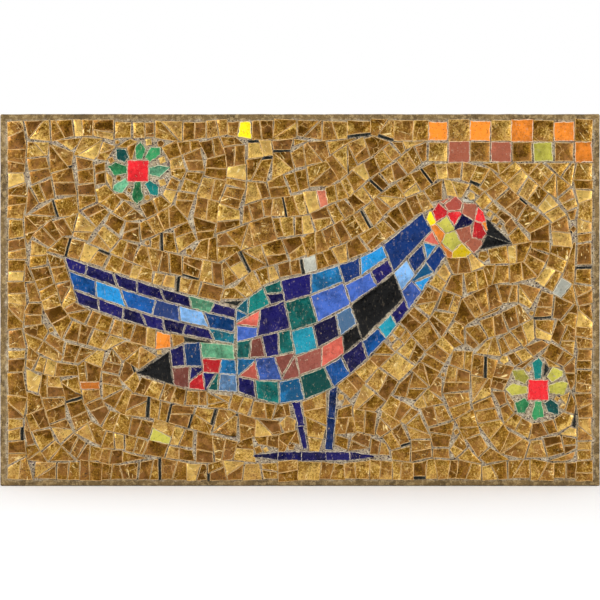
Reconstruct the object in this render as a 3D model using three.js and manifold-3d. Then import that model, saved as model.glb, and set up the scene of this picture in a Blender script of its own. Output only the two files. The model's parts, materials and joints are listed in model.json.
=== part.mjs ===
// A mosaic panel for a wall. A cast cement slab carries a mortar bed, and glass tesserae stand in the bed:
// a blue bird on a ground line and two rosettes in coloured glass, on a ground of gold-leaf glass.
// Millimetres. +X is right and +Z is up as the picture is seen. It faces -Y, and its back is y = 0.
import * as THREE from "three";
import { mergeVertices } from "three/addons/utils/BufferGeometryUtils.js";
import Module from "manifold-3d";

const wasm = await Module();
wasm.setup();

// ---- Driving dimensions ----
const PANEL = { width: 600, height: 372 };
const GROUT_LEVEL = 26; // from the back to the face of the grout and of the slab's bare margin
const BED_DEPTH = 6; // mortar in which the tesserae stand
const MARGIN = 7; // bare cement round the bed
const ARRIS = 1.5; // worn edges of the slab
const CLEARANCE = 0.3; // between a loose piece and the socket it sits in

const MODULE = 20; // side of an uncut tessera
const GLASS = 4; // thickness of a tessera
const GOLD_PROUD = 0.9; // how far the gold stands out of the grout
const FIGURE_PROUD = 1.4; // coloured glass is thicker than gold, and stands out further
const MOST_SLOPE = 0.03; // a tessera is pressed in by hand, and never lies quite flat
const FIGURE_JOINT = 1.5; // usual width of a joint in the figure
const LEAST_JOINT = 0.7; // least width of a joint in the gold
const SMALLEST_IN_FIGURE = 25; // least area of a piece, in square millimetres
const SMALLEST_IN_GOLD = 45;
const OWN_SOLIDS = 56; // the largest tesserae of the bird, each a solid of its own

// Half sizes of the recess in the slab, which the bed fills.
const FIELD = { x: PANEL.width / 2 - MARGIN, z: PANEL.height / 2 - MARGIN };

// ---- Colours ----
const GLASS_COLOURS = {
  navy: "#1d1c6c",
  royal: "#0d3474",
  cobalt: "#0b57a8",
  azure: "#2590d4",
  periwinkle: "#4a62c4",
  sky: "#84b4ec",
  turquoise: "#2a9fb6",
  teal: "#0b7c7e",
  seafoam: "#79cba9",
  black: "#1d1b1c",
  rust: "#8a4a44",
  coral: "#dc6a5e",
  red: "#d81f34",
  orange: "#f27a30",
  yellow: "#f4c81c",
};
const GOLD_COLOUR = "#b07c2c";
const CEMENT_COLOUR = "#8d8270";

// ---- Seeded numbers, so that every run lays the same panel ----
function seeded(seed) {
  let state = seed >>> 0;
  return () => {
    state = (state + 0x6d2b79f5) >>> 0;
    let mixed = Math.imul(state ^ (state >>> 15), 1 | state);
    mixed = (mixed + Math.imul(mixed ^ (mixed >>> 7), 61 | mixed)) ^ mixed;
    return ((mixed ^ (mixed >>> 14)) >>> 0) / 2 ** 32;
  };
}
const random = seeded(1957);
const between = (low, high) => low + (high - low) * random();
const about = (most) => between(-most, most);

// ---- Convex polygons in the plane of the picture: arrays of Vector2(x, z), anticlockwise ----
const point = (x, z) => new THREE.Vector2(x, z);
const polar = (centre, distance, turn) =>
  point(centre.x + distance * Math.cos(turn), centre.y + distance * Math.sin(turn));
const area = (polygon) => THREE.ShapeUtils.area(polygon);
const farthest = (polygon, direction) => Math.max(...polygon.map((corner) => direction.dot(corner)));
const nearest = (polygon, direction) => Math.min(...polygon.map((corner) => direction.dot(corner)));

function rectangle(halfX, halfZ, centre = point(0, 0)) {
  return [[-1, -1], [1, -1], [1, 1], [-1, 1]].map(([x, z]) => point(x * halfX, z * halfZ).add(centre));
}

function middleOf(points) {
  const middle = point(0, 0);
  points.forEach((p) => middle.add(p));
  return middle.divideScalar(points.length);
}

// The part of the polygon where normal . p <= limit.
function clip(polygon, normal, limit) {
  const kept = [];
  polygon.forEach((corner, i) => {
    const next = polygon[(i + 1) % polygon.length];
    const here = normal.dot(corner) - limit;
    const there = normal.dot(next) - limit;
    if (here <= 0) kept.push(corner);
    if (here < 0 !== there < 0 && here !== there) {
      kept.push(corner.clone().lerp(next, here / (here - there)));
    }
  });
  return kept;
}

// Each side as its outward normal and its distance from the origin along that normal.
function sidesOf(polygon) {
  return polygon.map((corner, i) => {
    const along = polygon[(i + 1) % polygon.length].clone().sub(corner).normalize();
    const normal = point(along.y, -along.x);
    return { normal, reach: normal.dot(corner) };
  });
}

function inset(polygon, distance) {
  return sidesOf(polygon).reduce(
    (left, { normal, reach }) => clip(left, normal, reach - distance),
    polygon,
  );
}

function convexHull(points) {
  const sorted = [...points].sort((a, b) => a.x - b.x || a.y - b.y);
  const turn = (a, b, c) => (b.x - a.x) * (c.y - a.y) - (b.y - a.y) * (c.x - a.x);
  const half = (list) => {
    const chain = [];
    for (const p of list) {
      while (chain.length > 1 && turn(chain.at(-2), chain.at(-1), p) <= 0) chain.pop();
      chain.push(p);
    }
    return chain.slice(0, -1);
  };
  return [...half(sorted), ...half(sorted.reverse())];
}

// Drops the corners that matter least, as a hand with nippers does.
function simplify(polygon, mostCorners, leastBite) {
  const corners = [...polygon];
  while (corners.length > 3) {
    const bites = corners.map((corner, i) =>
      area([corners.at(i - 1), corner, corners[(i + 1) % corners.length]]),
    );
    const smallest = bites.indexOf(Math.min(...bites));
    if (corners.length <= mostCorners && bites[smallest] > leastBite) break;
    corners.splice(smallest, 1);
  }
  return corners;
}

// The direction from one convex polygon to the other in which they part best, and the gap that way.
// The gap is negative where they overlap.
function parting(one, other) {
  const ways = [
    ...sidesOf(one).map(({ normal }) => normal),
    ...sidesOf(other).map(({ normal }) => normal.negate()),
  ];
  return ways
    .map((normal) => ({ normal, gap: nearest(other, normal) - farthest(one, normal) }))
    .reduce((a, b) => (b.gap > a.gap ? b : a));
}

function distanceTo(polygon, p) {
  let least = Infinity;
  let inside = true;
  polygon.forEach((a, i) => {
    const b = polygon[(i + 1) % polygon.length];
    const [bx, bz, px, pz] = [b.x - a.x, b.y - a.y, p.x - a.x, p.y - a.y];
    const along = Math.min(1, Math.max(0, (px * bx + pz * bz) / (bx * bx + bz * bz)));
    least = Math.min(least, Math.hypot(px - bx * along, pz - bz * along));
    if (bx * pz - bz * px < 0) inside = false;
  });
  return inside ? 0 : least;
}

// ---- The bird: every course of tesserae runs between two curves ----
const curve = (...corners) => new THREE.SplineCurve(corners.map(([x, z]) => point(x, z)));

const TAIL_ROOT = { top: [-64, -8], middle: [-66, -44], bottom: [-62, -92] };
const NAPE = [122, 88];
const THROAT = [146, 44];
const TAIL_TOP = curve([-236, 44], [-152, 16], TAIL_ROOT.top);
const TAIL_UNDER = curve([-222, -4], [-150, -28], TAIL_ROOT.middle);
const WING_TOP = curve([-164, -72], [-118, -44], TAIL_ROOT.middle);
const WING_UNDER = curve([-164, -74], [-116, -88], TAIL_ROOT.bottom);
const BACK = curve(TAIL_ROOT.top, [-32, 16], [22, 30], [74, 50], NAPE);
const BELLY = curve(TAIL_ROOT.bottom, [-20, -104], [30, -90], [76, -50], [112, -6], THROAT);

// A row's share of the height, the usual length of its tesserae, and the colours that follow each other.
const row = (share, length, ...colours) => ({ share, length, colours });

// from and to are shares of both curves. nipped is the share of tesserae that are cut again, slantwise.
const COURSES = [
  {
    zone: "tail",
    edges: [TAIL_TOP, TAIL_UNDER],
    from: 0,
    to: 1,
    nipped: 0,
    rows: [
      row(0.9, 25, "navy"),
      row(1.2, 27, "cobalt", "azure", "cobalt", "periwinkle", "sky"),
      row(0.9, 23, "navy"),
    ],
  },
  {
    zone: "wing_tip",
    edges: [WING_TOP, WING_UNDER],
    from: 0,
    to: 0.38,
    nipped: 0,
    rows: [row(1, 60, "black")],
  },
  {
    zone: "wing",
    edges: [WING_TOP, WING_UNDER],
    from: 0.38,
    to: 0.68,
    nipped: 0.3,
    rows: [row(1, 19, "navy", "cobalt"), row(1, 15, "rust", "turquoise", "navy")],
  },
  {
    zone: "wing",
    edges: [WING_TOP, WING_UNDER],
    from: 0.68,
    to: 1,
    nipped: 0.2,
    rows: [
      row(1, 24, "seafoam", "turquoise"),
      row(0.9, 17, "red", "navy", "rust"),
      row(1.1, 20, "teal", "sky"),
    ],
  },
  {
    zone: "body",
    edges: [BACK, BELLY],
    from: 0,
    to: 0.25,
    nipped: 0.3,
    rows: [
      row(0.8, 18, "turquoise", "teal", "navy"),
      row(1.1, 22, "periwinkle", "navy", "black"),
      row(0.9, 16, "turquoise", "rust", "navy", "teal"),
      row(1, 21, "rust", "periwinkle", "coral"),
      row(0.9, 19, "navy", "teal", "azure"),
    ],
  },
  {
    zone: "body",
    edges: [BACK, BELLY],
    from: 0.25,
    to: 0.53,
    nipped: 0.16,
    rows: [
      row(0.9, 29, "navy", "azure"),
      row(1.2, 27, "teal", "periwinkle", "navy"),
      row(1, 24, "turquoise", "navy", "sky", "teal"),
      row(0.8, 28, "rust", "coral", "black"),
      row(1, 24, "teal", "cobalt", "navy"),
    ],
  },
  {
    zone: "breast",
    edges: [BACK, BELLY],
    from: 0.53,
    to: 0.76,
    nipped: 0,
    rows: [
      row(0.8, 30, "royal", "azure"),
      row(0.8, 24, "periwinkle", "navy", "turquoise"),
      row(1.5, 46, "black"),
      row(0.7, 24, "cobalt", "royal", "teal"),
    ],
  },
  {
    zone: "neck",
    edges: [BACK, BELLY],
    from: 0.76,
    to: 1,
    nipped: 0.16,
    rows: [
      row(1.5, 62, "royal"),
      row(1, 22, "sky", "royal", "cobalt"),
      row(1, 25, "periwinkle", "cobalt", "royal"),
    ],
  },
];
const UNEVEN = 0.18; // how far a joint wanders along its row, as a share of a tessera
const LEAN = 0.14; // how far its two ends lean apart

const HEAD = { centre: point(156, 72), radius: 32, corners: 12 };
const EYE = { centre: point(162, 78), pieces: 24, spread: 8.2 }; // the pieces that crowd round the eye
const WARM = ["red", "orange", "coral", "yellow", "orange", "coral", "orange", "red", "coral"];
const GOLDEN_ANGLE = Math.PI * (3 - Math.sqrt(5));
const BEAK = { tip: point(214, 56), base: [16, -14, -40] }; // degrees round the head
const GROUND_LINE = { from: -46, to: 74, z: -156, height: 8, end: 3, pieces: 5 };
// hip is a share of the belly's curve.
const LEGS = [
  { hip: 0.22, foot: point(5, -149), width: [8.5, 6], pieces: 2 },
  { hip: 0.365, foot: point(29, -149), width: [9.5, 7], pieces: 2 },
];

// A tessera of the figure, nipped to leave half a joint all round.
function tessera(zone, colour, shape) {
  return { zone, colour, polygon: inset(shape, FIGURE_JOINT / 2 + between(-0.1, 0.3)) };
}

// Cuts a tessera slantwise in two across its longer way.
function nip(polygon) {
  const middle = middleOf(polygon);
  const far = polygon.reduce((a, b) => (b.distanceTo(middle) > a.distanceTo(middle) ? b : a));
  const normal = far.clone().sub(middle).normalize().rotateAround(point(0, 0), between(-0.2, 0.6));
  const limit = normal.dot(middle) + about(1.5);
  return [clip(polygon, normal, limit), clip(polygon, normal.clone().negate(), -limit)];
}

function courseTesserae({ zone, edges: [upper, lower], from, to, nipped, rows }) {
  const at = (along, down) => upper.getPointAt(along).lerp(lower.getPointAt(along), down);
  const height = rows.reduce((sum, { share }) => sum + share, 0);
  let top = 0;
  return rows.flatMap(({ share, length, colours }) => {
    const [high, low] = [top, top + share / height];
    top = low;
    const middle = (high + low) / 2;
    const count = Math.max(1, Math.round(at(from, middle).distanceTo(at(to, middle)) / length));
    const step = (to - from) / count;
    const cuts = Array.from({ length: count + 1 }, (_, i) => {
      const isInner = i > 0 && i < count;
      const here = from + step * (i + (isInner ? about(UNEVEN) : 0));
      const lean = isInner ? step * about(LEAN) : 0;
      return [here + lean, here - lean];
    });
    return cuts.slice(1).flatMap(([highEnd, lowEnd], i) => {
      const [highStart, lowStart] = cuts[i];
      const corners = [at(highStart, high), at(highEnd, high), at(lowEnd, low), at(lowStart, low)];
      const shape = convexHull(corners);
      const shapes = random() < nipped ? nip(shape) : [shape];
      return shapes.map((part, j) => tessera(zone, colours[(i + j) % colours.length], part));
    });
  });
}

// The head is cut into small pieces that crowd round the eye, as the seeds of a sunflower do.
function headTesserae() {
  const downTheNeck = point(...THROAT).sub(point(...NAPE)).normalize();
  const towardsNeck = point(downTheNeck.y, -downTheNeck.x);
  const outline = Array.from({ length: HEAD.corners }, (_, i) =>
    polar(HEAD.centre, HEAD.radius, (2 * Math.PI * i) / HEAD.corners),
  );
  const skull = clip(outline, towardsNeck, towardsNeck.dot(point(...NAPE)));
  const seeds = Array.from({ length: EYE.pieces }, (_, i) =>
    polar(EYE.centre, EYE.spread * Math.sqrt(i), i * GOLDEN_ANGLE + about(0.2)),
  );
  return seeds.flatMap((seed, i) => {
    const shape = seeds.reduce((left, other) => {
      if (other === seed) return left;
      const across = other.clone().sub(seed).normalize();
      return clip(left, across, across.dot(middleOf([seed, other])));
    }, skull);
    if (shape.length < 3 || area(shape) < SMALLEST_IN_FIGURE) return [];
    const cut = simplify(shape, 5, 2);
    return [i ? tessera("head", WARM[i % WARM.length], cut) : tessera("eye", "navy", cut)];
  });
}

function beakTesserae() {
  const base = BEAK.base.map((angle) =>
    polar(HEAD.centre, HEAD.radius, THREE.MathUtils.degToRad(angle)),
  );
  return [0, 1].map((half) => tessera("beak", "black", [base[half + 1], BEAK.tip, base[half]]));
}

// A leg starts along the belly, and its other cuts are square to it.
function legTesserae({ hip, foot, width: [thick, thin], pieces }) {
  const top = BELLY.getPointAt(hip);
  const down = foot.clone().sub(top).normalize();
  const ends = Array.from({ length: pieces + 1 }, (_, i) => {
    const share = i / pieces;
    const half = THREE.MathUtils.lerp(thick, thin, share) / 2;
    const across = i ? point(-down.y, down.x) : BELLY.getTangentAt(hip);
    return [-half, half].map((side) => top.clone().lerp(foot, share).addScaledVector(across, side));
  });
  return ends.slice(1).map((end, i) => tessera("leg", "navy", convexHull([...ends[i], ...end])));
}

function groundLineTesserae() {
  const { from, to, z, height, end, pieces } = GROUND_LINE;
  const cuts = Array.from({ length: pieces + 1 }, (_, i) => {
    const half = (i > 0 && i < pieces ? height : end) / 2;
    return [-half, half].map((side) => point(from + ((to - from) * i) / pieces, z + side));
  });
  return cuts.slice(1).map((cut, i) => tessera("ground_line", "navy", convexHull([...cuts[i], ...cut])));
}

// ---- The rosettes: a square centre with petals round it ----
const ROSETTES = [
  { name: "left_rosette_centre", centre: point(-162, 129) },
  { name: "right_rosette_centre", centre: point(238, -90) },
];
const ROSETTE = { square: 20, petals: 8, from: 11.5, to: 31, width: 11.5, reach: 33 };

function rosetteCentre({ name, centre }) {
  return { zone: name, colour: "red", polygon: rectangle(ROSETTE.square / 2, ROSETTE.square / 2, centre) };
}

function rosettePetals({ centre }) {
  return Array.from({ length: ROSETTE.petals }, (_, i) => {
    const turn = ((i + about(0.14)) * 2 * Math.PI) / ROSETTE.petals;
    const out = polar(point(0, 0), 1, turn);
    const across = point(-out.y, out.x);
    const from = ROSETTE.from / Math.max(Math.abs(out.x), Math.abs(out.y));
    const to = ROSETTE.to + about(2);
    const belly = THREE.MathUtils.lerp(from, to, between(0.5, 0.8));
    const width = ROSETTE.width * between(0.85, 1.15);
    const at = (distance, side) =>
      centre.clone().addScaledVector(out, distance).addScaledVector(across, side * width);
    return convexHull([
      at(from, -0.28),
      at(from, 0.28),
      at(belly, 0.5),
      at(to, about(0.3)),
      at(belly, -0.5),
    ]);
  });
}

// ---- The gold ground: courses that follow the figure, and a border course round the edge ----
const BORDER = { depth: 18, wander: 4 };
const WANDER = 6; // how far a course strays from a true parallel
const COURSE_HEIGHTS = [0.9, 1.12]; // least and most, in modules
const TESSERA_LENGTHS = [0.85, 1.36];
const WHOLE_SQUARES = { left: 128, rows: 2, pitch: 21 }; // uncut tesserae in the upper right corner
const CELL = 1; // the ground is shared out in cells of this size
const NEAR_THE_LINE = 0.12; // tesserae are centred this near the middle line of their course
const FIVE_SIDED = 0.2; // share of the gold that may keep a fifth corner
const LEAST_BITE = 13; // a corner that takes less than this off a tessera isn't cut
const HOLLOW = 1.13; // how much larger than a patch its hull may be, to be laid as one tessera

// A slow wave over the panel, from -1 to 1, that keeps the courses from running like ruled lines.
function drift(x, z) {
  return (
    0.5 * Math.sin(x / 23 + 1.7 * Math.sin(z / 31)) +
    0.3 * Math.sin(z / 17 + 1.3 * Math.sin(x / 41 + 2)) +
    0.2 * Math.sin((x + z) / 11)
  );
}

// The course in which a place lies, and how deep in it, from 0 to 1.
function courseAt(p, toFigure, limits) {
  const flower = ROSETTES.findIndex(({ centre }) => p.distanceTo(centre) < ROSETTE.reach);
  if (flower >= 0) {
    const turn = p.clone().sub(ROSETTES[flower].centre).angle() / (2 * Math.PI);
    return { course: `alone, petal ${flower} ${Math.floor(turn * ROSETTE.petals)}`, depth: 0.5 };
  }
  const column = Math.floor((p.x - WHOLE_SQUARES.left) / WHOLE_SQUARES.pitch);
  const line = Math.floor((FIELD.z - p.y) / WHOLE_SQUARES.pitch);
  const isWhole = column >= 0 && line < WHOLE_SQUARES.rows;
  if (isWhole) return { course: `alone, square ${line} ${column}`, depth: 0.5 };
  const toEdge = Math.min(FIELD.x - Math.abs(p.x), FIELD.z - Math.abs(p.y));
  const border = BORDER.depth + BORDER.wander * drift(2 * p.x, 2 * p.y);
  if (toEdge < border) return { course: "border", depth: toEdge / border };
  const stray = WANDER * drift(p.x, p.y) * Math.min(1, toFigure / 30);
  const reach = Math.max(0, toFigure + stray);
  const next = limits.findIndex((limit) => reach < limit);
  const [inner, outer] = [limits[next - 1], limits[next]];
  return { course: `${next}`, depth: (reach - inner) / (outer - inner) };
}

// Sorts the cells of the ground into courses.
function layCourses(figure) {
  const limits = [0];
  while (limits.at(-1) < PANEL.width) limits.push(limits.at(-1) + MODULE * between(...COURSE_HEIGHTS));
  const courses = new Map();
  for (let z = CELL - FIELD.z; z <= FIELD.z - CELL; z += CELL) {
    for (let x = CELL - FIELD.x; x <= FIELD.x - CELL; x += CELL) {
      const p = point(x, z);
      const toFigure = Math.min(...figure.map((polygon) => distanceTo(polygon, p)));
      if (toFigure < FIGURE_JOINT) continue;
      const { course, depth } = courseAt(p, toFigure, limits);
      if (!courses.has(course)) courses.set(course, []);
      courses.get(course).push({ p, depth });
    }
  }
  return courses;
}

// Middles of the tesserae in one course. Each new one is the nearest that is a length from all others.
function placeAlong(cells) {
  const line = cells.filter(({ depth }) => Math.abs(depth - 0.5) < NEAR_THE_LINE);
  const gaps = line.map(() => Infinity);
  const placed = [];
  let next = line.length ? Math.floor(random() * line.length) : -1;
  while (next >= 0) {
    const middle = line[next].p;
    placed.push(middle);
    const length = MODULE * between(...TESSERA_LENGTHS);
    next = -1;
    line.forEach(({ p }, i) => {
      gaps[i] = Math.min(gaps[i], p.distanceTo(middle));
      if (gaps[i] >= length && (next < 0 || gaps[i] < gaps[next])) next = i;
    });
  }
  return placed;
}

// Shares the cells of a course out among the middles, each to the nearest.
function patchesOf(cells, middles) {
  const patches = middles.map(() => []);
  cells.forEach(({ p }) => {
    let best = 0;
    middles.forEach((middle, i) => {
      if (middle.distanceToSquared(p) < middles[best].distanceToSquared(p)) best = i;
    });
    patches[best]?.push(p);
  });
  return patches;
}

// Cuts a patch of ground in two across its longer way until each part is nearly convex.
function nearlyConvex(patch) {
  const patchArea = patch.length * CELL ** 2;
  if (patchArea < SMALLEST_IN_GOLD) return [];
  const hull = convexHull(patch);
  const middle = middleOf(patch);
  let [xx, xz, zz] = [0, 0, 0];
  patch.forEach(({ x, y }) => {
    xx += (x - middle.x) ** 2;
    xz += (x - middle.x) * (y - middle.y);
    zz += (y - middle.y) ** 2;
  });
  const spread = Math.sqrt(((xx + zz) / 2 + Math.hypot((xx - zz) / 2, xz)) / patch.length);
  if (area(hull) < HOLLOW * patchArea && spread < MODULE / 2) return [hull];
  const long = polar(point(0, 0), 1, Math.atan2(2 * xz, xx - zz) / 2);
  const isFar = (p) => long.dot(p) > long.dot(middle);
  return [patch.filter(isFar), patch.filter((p) => !isFar(p))].flatMap(nearlyConvex);
}

// Where the gold stands closer than the least joint to its neighbours, it is nipped back.
function nipApart(gold, figure) {
  const isLarge = (polygon) => polygon.length > 2 && area(polygon) > SMALLEST_IN_GOLD;
  const left = [...gold];
  left.forEach((_, i) => {
    figure.forEach((other) => {
      if (!isLarge(left[i])) return;
      const { gap, normal } = parting(left[i], other);
      if (gap < LEAST_JOINT) left[i] = clip(left[i], normal, nearest(other, normal) - LEAST_JOINT);
    });
    for (let j = i + 1; j < left.length; j++) {
      if (!isLarge(left[i]) || !isLarge(left[j])) continue;
      const { gap, normal } = parting(left[i], left[j]);
      if (gap >= LEAST_JOINT) continue;
      const line = (farthest(left[i], normal) + nearest(left[j], normal)) / 2;
      left[i] = clip(left[i], normal, line - LEAST_JOINT / 2);
      left[j] = clip(left[j], normal.clone().negate(), -line - LEAST_JOINT / 2);
    }
  });
  return left.filter(isLarge);
}

function goldPolygons(figure) {
  const gold = [];
  for (const [course, cells] of layCourses(figure)) {
    const isAlone = course.startsWith("alone");
    const middles = isAlone ? [middleOf(cells.map(({ p }) => p))] : placeAlong(cells);
    patchesOf(cells, middles).flatMap(nearlyConvex).forEach((hull) => {
      const most = !isAlone && random() < FIVE_SIDED ? 5 : 4;
      gold.push(inset(simplify(hull, most, LEAST_BITE), between(0.1, 0.6)));
    });
  }
  return nipApart(gold, figure).map((polygon) => simplify(polygon, 5, LEAST_BITE));
}

// ---- Solids ----

// A prism on a polygon, between two distances from the back of the panel.
function prism(polygon, back, front, slope = point(0, 0)) {
  const depth = front - back;
  const shape = new THREE.Shape(polygon);
  const geometry = new THREE.ExtrudeGeometry(shape, { depth, bevelEnabled: false, steps: 1 });
  const places = geometry.getAttribute("position");
  const middle = middleOf(polygon);
  for (let i = 0; i < places.count; i++) {
    if (places.getZ(i) < depth) continue;
    const here = point(places.getX(i), places.getY(i)).sub(middle);
    places.setZ(i, depth + slope.dot(here));
  }
  return geometry.translate(0, 0, back).rotateX(Math.PI / 2);
}

function welded(geometry) {
  const copy = geometry.clone();
  copy.deleteAttribute("normal");
  copy.deleteAttribute("uv");
  return mergeVertices(copy);
}

function toSolid(...geometries) {
  const vertices = [];
  const triangles = [];
  geometries.map(welded).forEach((geometry) => {
    const first = vertices.length / 3;
    vertices.push(...geometry.getAttribute("position").array);
    triangles.push(...Array.from(geometry.index.array, (index) => index + first));
  });
  const mesh = new wasm.Mesh({
    numProp: 3,
    vertProperties: new Float32Array(vertices),
    triVerts: new Uint32Array(triangles),
  });
  return new wasm.Manifold(mesh);
}

function toGeometry(solid) {
  const { vertProperties, triVerts } = solid.getMesh();
  const geometry = new THREE.BufferGeometry();
  geometry.setAttribute("position", new THREE.BufferAttribute(vertProperties, 3));
  geometry.setIndex(new THREE.BufferAttribute(triVerts, 1));
  return geometry;
}

function slabGeometry() {
  const outline = rectangle(PANEL.width / 2 - ARRIS, PANEL.height / 2 - ARRIS);
  const cast = new THREE.ExtrudeGeometry(new THREE.Shape(outline), {
    depth: GROUT_LEVEL - 2 * ARRIS,
    bevelThickness: ARRIS,
    bevelSize: ARRIS,
    bevelSegments: 1,
  });
  cast.translate(0, 0, ARRIS).rotateX(Math.PI / 2);
  const recess = prism(rectangle(FIELD.x, FIELD.z), GROUT_LEVEL - BED_DEPTH, GROUT_LEVEL + BED_DEPTH);
  return toGeometry(toSolid(cast).subtract(toSolid(recess)));
}

// The mortar with its sockets, and with the gold and the smallest pieces of the figure fused to it.
function bedGeometry(sockets, coloured, gold) {
  const root = GROUT_LEVEL + FIGURE_PROUD - GLASS;
  const outline = rectangle(FIELD.x - CLEARANCE, FIELD.z - CLEARANCE);
  const mortar = toSolid(prism(outline, GROUT_LEVEL - BED_DEPTH, GROUT_LEVEL));
  const pockets = sockets.map((polygon) => prism(polygon, root, GROUT_LEVEL + GLASS));
  const raised = coloured.map((polygon) => prism(polygon, root, GROUT_LEVEL + FIGURE_PROUD));
  const gilded = gold.map((polygon) => {
    const slope = point(about(MOST_SLOPE), about(MOST_SLOPE));
    return prism(polygon, root, GROUT_LEVEL + GOLD_PROUD, slope);
  });
  return toGeometry(mortar.subtract(toSolid(...pockets)).add(toSolid(...raised, ...gilded)));
}

function tesseraGeometry(polygon) {
  const front = GROUT_LEVEL + FIGURE_PROUD;
  return prism(inset(polygon, CLEARANCE), front - GLASS, front);
}

// ---- The panel ----
function material(name, color, roughness, metalness) {
  return new THREE.MeshStandardMaterial({ name, color, roughness, metalness });
}

const panel = new THREE.Group();

function addNode(name, geometry, look) {
  const mesh = new THREE.Mesh(geometry, look);
  mesh.name = name;
  panel.add(mesh);
}

const bird = [
  ...COURSES.flatMap(courseTesserae),
  ...headTesserae(),
  ...beakTesserae(),
  ...LEGS.flatMap(legTesserae),
  ...groundLineTesserae(),
];
const centres = ROSETTES.map(rosetteCentre);
const petals = ROSETTES.flatMap(rosettePetals);
const outlines = (pieces) => pieces.map(({ polygon }) => polygon);
const gold = goldPolygons([...outlines(bird), ...outlines(centres), ...petals]);

const bySize = [...bird].sort((a, b) => area(b.polygon) - area(a.polygon));
const loose = bySize.slice(0, OWN_SOLIDS);
const fused = bySize.slice(OWN_SOLIDS);

const sockets = outlines([...loose, ...centres]);
const coloured = [...outlines(fused), ...petals];
addNode("mortar_slab", slabGeometry(), material("cement", CEMENT_COLOUR, 0.95, 0));
addNode("gold_ground_bed", bedGeometry(sockets, coloured, gold), material("gold", GOLD_COLOUR, 0.35, 0.7));

const counts = {};
bird.filter((piece) => loose.includes(piece)).forEach(({ zone, colour, polygon }) => {
  counts[zone] = (counts[zone] ?? 0) + 1;
  const look = material(`${colour}_glass`, GLASS_COLOURS[colour], 0.3, 0);
  addNode(`${zone}_tessera_${counts[zone]}`, tesseraGeometry(polygon), look);
});
centres.forEach(({ zone, colour, polygon }) => {
  addNode(zone, tesseraGeometry(polygon), material(`${colour}_glass`, GLASS_COLOURS[colour], 0.3, 0));
});

export default panel;
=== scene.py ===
# %% [markdown]
# # A mosaic panel in glass and gold
#
# The real panel is a slab of cast cement with a bed of mortar, and more than nine hundred pieces of glass
# pressed into it by hand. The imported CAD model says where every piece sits. This lesson keeps those places
# and gives each piece its cut edges, its slope, its joint and its finish.

# %% The frame, and the size that everything has to keep
import json
import math
import random

import bmesh
import bpy
import numpy as np
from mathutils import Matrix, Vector
from mathutils.bvhtree import BVHTree

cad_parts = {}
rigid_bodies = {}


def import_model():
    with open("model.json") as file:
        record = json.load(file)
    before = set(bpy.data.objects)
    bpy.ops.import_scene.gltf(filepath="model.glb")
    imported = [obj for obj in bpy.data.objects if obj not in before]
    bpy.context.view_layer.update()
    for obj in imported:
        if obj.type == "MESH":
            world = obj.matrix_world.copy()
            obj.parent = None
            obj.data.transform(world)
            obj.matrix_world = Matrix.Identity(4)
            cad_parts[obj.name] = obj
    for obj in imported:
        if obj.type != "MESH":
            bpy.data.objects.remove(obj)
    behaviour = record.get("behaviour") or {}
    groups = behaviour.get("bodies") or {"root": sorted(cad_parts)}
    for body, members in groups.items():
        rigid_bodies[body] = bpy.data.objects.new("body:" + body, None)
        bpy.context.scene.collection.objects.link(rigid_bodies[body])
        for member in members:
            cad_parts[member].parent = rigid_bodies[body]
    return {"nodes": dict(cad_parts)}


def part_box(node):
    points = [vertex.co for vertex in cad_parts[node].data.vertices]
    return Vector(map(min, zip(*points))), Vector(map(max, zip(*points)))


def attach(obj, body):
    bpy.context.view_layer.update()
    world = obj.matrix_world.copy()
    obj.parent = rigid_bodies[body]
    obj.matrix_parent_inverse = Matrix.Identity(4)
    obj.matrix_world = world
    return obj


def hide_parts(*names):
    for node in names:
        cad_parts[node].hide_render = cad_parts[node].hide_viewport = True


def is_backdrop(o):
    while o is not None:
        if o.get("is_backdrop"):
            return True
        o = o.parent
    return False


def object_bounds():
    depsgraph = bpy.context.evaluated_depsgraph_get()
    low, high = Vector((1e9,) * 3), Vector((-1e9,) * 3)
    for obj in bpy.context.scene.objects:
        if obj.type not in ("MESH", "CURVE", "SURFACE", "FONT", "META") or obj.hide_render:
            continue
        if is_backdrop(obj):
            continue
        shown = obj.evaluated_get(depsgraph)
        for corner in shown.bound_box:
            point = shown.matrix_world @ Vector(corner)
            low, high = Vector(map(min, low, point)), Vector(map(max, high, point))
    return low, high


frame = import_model()
CAD_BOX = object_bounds()
MM = 0.001
TINY = 1e-6  # metres
print("CAD box, mm:", [[round(v / MM, 2) for v in corner] for corner in CAD_BOX])

# %% [markdown]
# ## Measures
#
# The slab's own box gives the panel's size and the level of the grout, so nothing is typed in twice. The
# picture faces -Y: a place nearer to the viewer has a smaller y. Lengths are in metres, as Blender wants
# them.

# %% Levels and sizes read from the frame
SEED = 1957
random.seed(SEED)
SLAB_LOW, SLAB_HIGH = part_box("mortar_slab")
BED_LOW, BED_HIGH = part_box("gold_ground_bed")
GROUT_Y = SLAB_LOW.y
FIGURE_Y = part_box("left_rosette_centre")[0].y
BED_BACK_Y = BED_HIGH.y
WIDTH = SLAB_HIGH.x - SLAB_LOW.x
HEIGHT = SLAB_HIGH.z - SLAB_LOW.z
DEPTH = SLAB_HIGH.y - SLAB_LOW.y
MARGIN = BED_LOW.x - SLAB_LOW.x
GLASS_DEPTH = 3.6 * MM
print(f"panel {WIDTH / MM:.0f} x {HEIGHT / MM:.0f} mm, grout at y = {GROUT_Y / MM:.1f} mm")

# %% [markdown]
# ## Small helpers
#
# Operators act on what is selected, so each step starts by deselecting everything. Inside edit mode the
# pieces to work on are picked by a rule, such as "faces that look at the viewer".

# %% Selecting, copying and finishing pieces


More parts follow.
